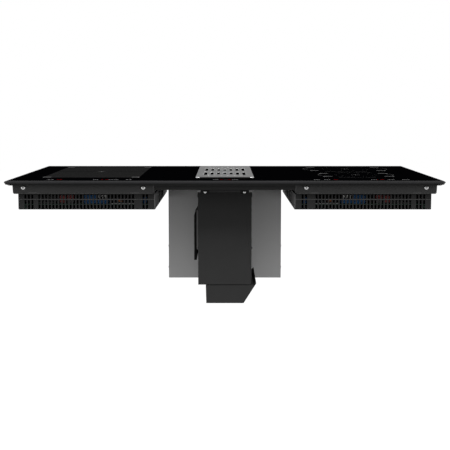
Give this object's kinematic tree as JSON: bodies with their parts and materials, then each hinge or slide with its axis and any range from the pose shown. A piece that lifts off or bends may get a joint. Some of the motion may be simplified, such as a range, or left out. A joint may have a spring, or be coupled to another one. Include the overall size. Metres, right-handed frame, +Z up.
{
  "type": "downdraft induction cooktop",
  "caption": "Wide black glass induction cooktop with a steel intake grille in the middle, slotted electronics modules on both sides and a downdraft fan housing below.",
  "frame": {"origin": "middle of the worktop cut-out, on the worktop surface that the glass seats on", "axes": "+X to the right seen from the front, +Y to the rear, +Z up; the front edge faces -Y"},
  "size_m": [0.9, 0.52, 0.271],
  "materials": {
    "black_glass": "polished, opaque black",
    "seal_rubber": "matt",
    "dark_trim": "satin black",
    "tray_metal": "satin dark grey",
    "vent_metal": "satin black",
    "bright_steel": "bright",
    "aluminium_sheet": "mill",
    "heatsink_aluminium": "mill",
    "ferrite": "matt grey",
    "copper_winding": "enamelled copper wire",
    "mica": "flaky, satin",
    "sensor_metal": "satin",
    "circuit_board": "satin green laminate",
    "blue_capacitor": "gloss",
    "red_relay": "gloss",
    "black_plastic": "matt",
    "black_sheet": "satin black",
    "base_strip": "satin grey",
    "stainless": "brushed",
    "galvanised": "zinc grey sheet",
    "motor_metal": "cast, satin"
  },
  "bodies": {
    "housing": {"glass_top": "black_glass", "worktop_seal": "seal_rubber", "left_side_trim": "dark_trim", "right_side_trim": "dark_trim", "left_module_tray": "tray_metal", "right_module_tray": "tray_metal", "left_vent_box": "vent_metal", "right_vent_box": "vent_metal", "module_screws": "bright_steel", "left_coil_plate": "aluminium_sheet", "right_coil_plate": "aluminium_sheet", "left_ferrites": "ferrite", "right_ferrites": "ferrite", "left_windings": "copper_winding", "right_windings": "copper_winding", "left_mica_sheet": "mica", "right_mica_sheet": "mica", "zone_sensors": "sensor_metal", "left_touch_board": "circuit_board", "centre_touch_board": "circuit_board", "right_touch_board": "circuit_board", "left_power_board": "circuit_board", "right_power_board": "circuit_board", "left_capacitors": "blue_capacitor", "right_capacitors": "blue_capacitor", "left_chokes": "copper_winding", "right_chokes": "copper_winding", "left_relays": "red_relay", "right_relays": "red_relay", "left_heatsink": "heatsink_aluminium", "right_heatsink": "heatsink_aluminium", "left_fan_frame": "black_plastic", "right_fan_frame": "black_plastic", "centre_carrier": "tray_metal", "intake_well": "black_sheet", "hanger_plates": "bright_steel", "filter_housing": "black_sheet", "housing_cover": "black_sheet", "housing_screws": "bright_steel", "control_box": "black_sheet", "control_box_base": "base_strip", "tray_runners": "base_strip", "fan_box": "galvanised", "fan_box_front": "galvanised", "fan_box_screws": "bright_steel", "duct_gasket": "seal_rubber", "inlet_ring": "black_plastic", "motor": "motor_metal", "motor_bracket": "galvanised", "outlet_spigot": "black_plastic", "cable_gland": "black_plastic"},
    "grille": {"grille": "stainless", "grille_feet": "seal_rubber"},
    "grease_filter": {"filter_frame": "heatsink_aluminium", "filter_mesh": "heatsink_aluminium", "filter_handle": "black_plastic"},
    "drip_tray": {"drip_tray": "black_sheet"},
    "impeller": {"impeller": "black_plastic"},
    "left_fan_rotor": {"left_fan_rotor": "black_plastic"},
    "right_fan_rotor": {"right_fan_rotor": "black_plastic"}
  },
  "joints": [
    {"name": "grille_lift", "type": "slide", "parent": "housing", "child": "grille", "axis": [0, 0, 1], "range_m": [0, 0.3]},
    {"name": "filter_lift", "type": "slide", "parent": "housing", "child": "grease_filter", "axis": [0, 0, 1], "range_m": [0, 0.15]},
    {"name": "drip_tray_slide", "type": "slide", "parent": "housing", "child": "drip_tray", "axis": [0, -1, 0], "range_m": [0, 0.18]},
    {"name": "impeller_spin", "type": "hinge", "parent": "housing", "child": "impeller", "pos_m": [0, 0.11, -0.12485], "axis": [0, 1, 0], "continuous": true},
    {"name": "left_cooling_fan_spin", "type": "hinge", "parent": "housing", "child": "left_fan_rotor", "pos_m": [-0.29013, 0.12, -0.036], "axis": [0, 0, 1], "continuous": true},
    {"name": "right_cooling_fan_spin", "type": "hinge", "parent": "housing", "child": "right_fan_rotor", "pos_m": [0.29013, 0.12, -0.036], "axis": [0, 0, 1], "continuous": true}
  ],
  "couplings": [
    {"joint": "filter_lift", "follows": "grille_lift", "ratio": 0.5}
  ]
}
